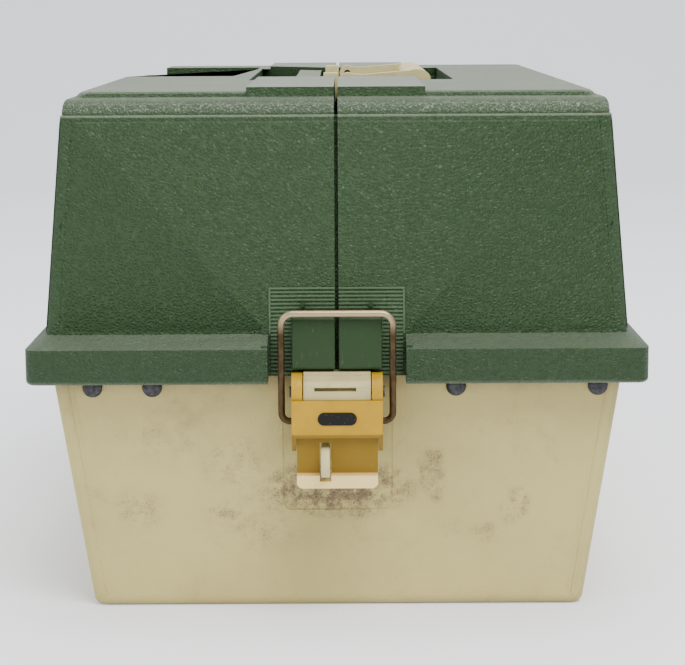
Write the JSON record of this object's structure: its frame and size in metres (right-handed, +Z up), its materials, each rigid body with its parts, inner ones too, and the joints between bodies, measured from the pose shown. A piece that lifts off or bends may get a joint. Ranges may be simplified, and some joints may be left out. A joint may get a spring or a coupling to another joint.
{
  "type": "tackle box",
  "caption": "Hip-roof fishing tackle box with a tapered tub, two outward-opening lid halves, cantilever trays, a draw latch with a wire bail at each end and a folding carry handle.",
  "frame": {"origin": "centre of the box's footprint, on the surface that it stands on", "axes": "+Z up, -Y towards the front latch end, +X to the right as seen from the front"},
  "size_m": [0.2886, 0.488, 0.2531],
  "materials": {
    "green_plastic": "pebble grain, satin",
    "tan_plastic": "fine grain, soiled",
    "tray_plastic": "smooth satin",
    "ivory_plastic": "semi gloss",
    "mustard_plastic": "worn semi gloss",
    "steel": "zinc plated",
    "bronze_wire": "tarnished bronze plating",
    "black_badge": "printed black"
  },
  "bodies": {
    "tub": {"base_tub": "tan_plastic", "hinge_rod_left": "steel", "hinge_rod_right": "steel", "rivets_tub_front": "steel", "rivets_tub_rear": "steel", "latch_pin_front": "steel", "latch_pin_rear": "steel", "lock_staple_front": "ivory_plastic", "lock_staple_rear": "ivory_plastic"},
    "lid_left": {"lid_left": "green_plastic", "handle_rest": "ivory_plastic"},
    "lid_right": {"lid_right": "green_plastic", "handle_pins": "steel"},
    "arm_left_outer": {"arm_left_outer_front": "steel", "arm_left_outer_rear": "steel"},
    "arm_left_inner": {"arm_left_inner_front": "steel", "arm_left_inner_rear": "steel"},
    "arm_right_outer": {"arm_right_outer_front": "steel", "arm_right_outer_rear": "steel"},
    "arm_right_control": {"arm_right_control_front": "steel", "arm_right_control_rear": "steel"},
    "link_right": {"link_right_front": "steel", "link_right_rear": "steel"},
    "latch_front": {"latch_lever_front": "mustard_plastic", "latch_badge_front": "black_badge"},
    "latch_rear": {"latch_lever_rear": "mustard_plastic", "latch_badge_rear": "black_badge"},
    "bail_front": {"wire_bail_front": "bronze_wire"},
    "bail_rear": {"wire_bail_rear": "bronze_wire"},
    "handle": {"carry_handle": "ivory_plastic"},
    "tray_left_lower": {"tray_left_lower": "tray_plastic", "dividers_left_lower": "ivory_plastic", "rivets_left_lower": "steel"},
    "tray_left_middle": {"tray_left_middle": "tray_plastic", "dividers_left_middle": "ivory_plastic", "rivets_left_middle": "steel"},
    "tray_left_upper": {"tray_left_upper": "tray_plastic", "dividers_left_upper": "ivory_plastic", "rivets_left_upper": "steel"},
    "tray_right_lower": {"tray_right_lower": "tray_plastic", "dividers_right_lower": "ivory_plastic", "rivets_right_lower": "steel"},
    "tray_right_middle": {"tray_right_middle": "tray_plastic", "dividers_right_middle": "ivory_plastic", "rivets_right_middle": "steel"},
    "tray_right_upper": {"tray_right_upper": "tray_plastic", "dividers_right_upper": "ivory_plastic", "rivets_right_upper": "steel"}
  },
  "joints": [
    {"name": "lid_left_hinge", "type": "hinge", "parent": "tub", "child": "lid_left", "pos_m": [-0.1374, 0, 0.117], "axis": [0, -1, 0], "range_deg": [0, 100]},
    {"name": "lid_right_hinge", "type": "hinge", "parent": "tub", "child": "lid_right", "pos_m": [0.1374, 0, 0.117], "axis": [0, 1, 0], "range_deg": [0, 100]},
    {"name": "arm_left_outer_pivot", "type": "hinge", "parent": "tub", "child": "arm_left_outer", "pos_m": [-0.1148, 0, 0.1105], "axis": [0, -1, 0], "range_deg": [0, 90]},
    {"name": "arm_left_inner_pivot", "type": "hinge", "parent": "tub", "child": "arm_left_inner", "pos_m": [-0.0868, 0, 0.1105], "axis": [0, -1, 0], "range_deg": [0, 90]},
    {"name": "arm_right_outer_pivot", "type": "hinge", "parent": "tub", "child": "arm_right_outer", "pos_m": [0.1221, 0, 0.1105], "axis": [0, 1, 0], "range_deg": [0, 90]},
    {"name": "arm_right_control_pivot", "type": "hinge", "parent": "tub", "child": "arm_right_control", "pos_m": [0.0557, 0, 0.1105], "axis": [0, 1, 0], "range_deg": [0, 90]},
    {"name": "tray_left_lower_pivot", "type": "hinge", "parent": "arm_left_outer", "child": "tray_left_lower", "pos_m": [-0.0913, 0, 0.134], "axis": [0, -1, 0], "range_deg": [-90, 0]},
    {"name": "tray_left_middle_pivot", "type": "hinge", "parent": "arm_left_outer", "child": "tray_left_middle", "pos_m": [-0.0668, 0, 0.1585], "axis": [0, -1, 0], "range_deg": [-90, 0]},
    {"name": "tray_left_upper_pivot", "type": "hinge", "parent": "arm_left_outer", "child": "tray_left_upper", "pos_m": [-0.0423, 0, 0.183], "axis": [0, -1, 0], "range_deg": [-90, 0]},
    {"name": "tray_right_lower_pivot", "type": "hinge", "parent": "arm_right_outer", "child": "tray_right_lower", "pos_m": [0.0986, 0, 0.134], "axis": [0, 1, 0], "range_deg": [-90, 0]},
    {"name": "tray_right_middle_pivot", "type": "hinge", "parent": "arm_right_outer", "child": "tray_right_middle", "pos_m": [0.0741, 0, 0.1585], "axis": [0, 1, 0], "range_deg": [-90, 0]},
    {"name": "tray_right_upper_pivot", "type": "hinge", "parent": "arm_right_outer", "child": "tray_right_upper", "pos_m": [0.0496, 0, 0.183], "axis": [0, 1, 0], "range_deg": [-90, 0]},
    {"name": "link_right_pivot", "type": "hinge", "parent": "tray_right_lower", "child": "link_right", "pos_m": [0.0866, 0, 0.134], "axis": [0, 1, 0], "range_deg": [0, 90]},
    {"name": "latch_front_pivot", "type": "hinge", "parent": "tub", "child": "latch_front", "pos_m": [0, -0.226, 0.1105], "axis": [-1, 0, 0], "range_deg": [0, 95]},
    {"name": "latch_rear_pivot", "type": "hinge", "parent": "tub", "child": "latch_rear", "pos_m": [0, 0.226, 0.1105], "axis": [1, 0, 0], "range_deg": [0, 95]},
    {"name": "bail_front_pivot", "type": "hinge", "parent": "latch_front", "child": "bail_front", "pos_m": [0, -0.228, 0.097], "axis": [1, 0, 0], "range_deg": [0, 123.5]},
    {"name": "bail_rear_pivot", "type": "hinge", "parent": "latch_rear", "child": "bail_rear", "pos_m": [0, 0.228, 0.097], "axis": [-1, 0, 0], "range_deg": [0, 123.5]},
    {"name": "handle_pivot", "type": "hinge", "parent": "lid_right", "child": "handle", "pos_m": [0.006, 0, 0.247], "axis": [0, -1, 0], "range_deg": [0, 90]}
  ],
  "couplings": [
    {"joint": "arm_left_outer_pivot", "follows": "lid_left_hinge", "ratio": 0.9},
    {"joint": "arm_left_inner_pivot", "follows": "lid_left_hinge", "ratio": 0.9},
    {"joint": "arm_right_outer_pivot", "follows": "lid_right_hinge", "ratio": 0.9},
    {"joint": "arm_right_control_pivot", "follows": "lid_right_hinge", "ratio": 0.9},
    {"joint": "tray_left_lower_pivot", "follows": "lid_left_hinge", "ratio": -0.9},
    {"joint": "tray_left_middle_pivot", "follows": "lid_left_hinge", "ratio": -0.9},
    {"joint": "tray_left_upper_pivot", "follows": "lid_left_hinge", "ratio": -0.9},
    {"joint": "tray_right_lower_pivot", "follows": "lid_right_hinge", "ratio": -0.9},
    {"joint": "tray_right_middle_pivot", "follows": "lid_right_hinge", "ratio": -0.9},
    {"joint": "tray_right_upper_pivot", "follows": "lid_right_hinge", "ratio": -0.9},
    {"joint": "link_right_pivot", "follows": "lid_right_hinge", "ratio": 0.9},
    {"joint": "bail_front_pivot", "follows": "latch_front_pivot", "ratio": 1.3},
    {"joint": "bail_rear_pivot", "follows": "latch_rear_pivot", "ratio": 1.3}
  ]
}
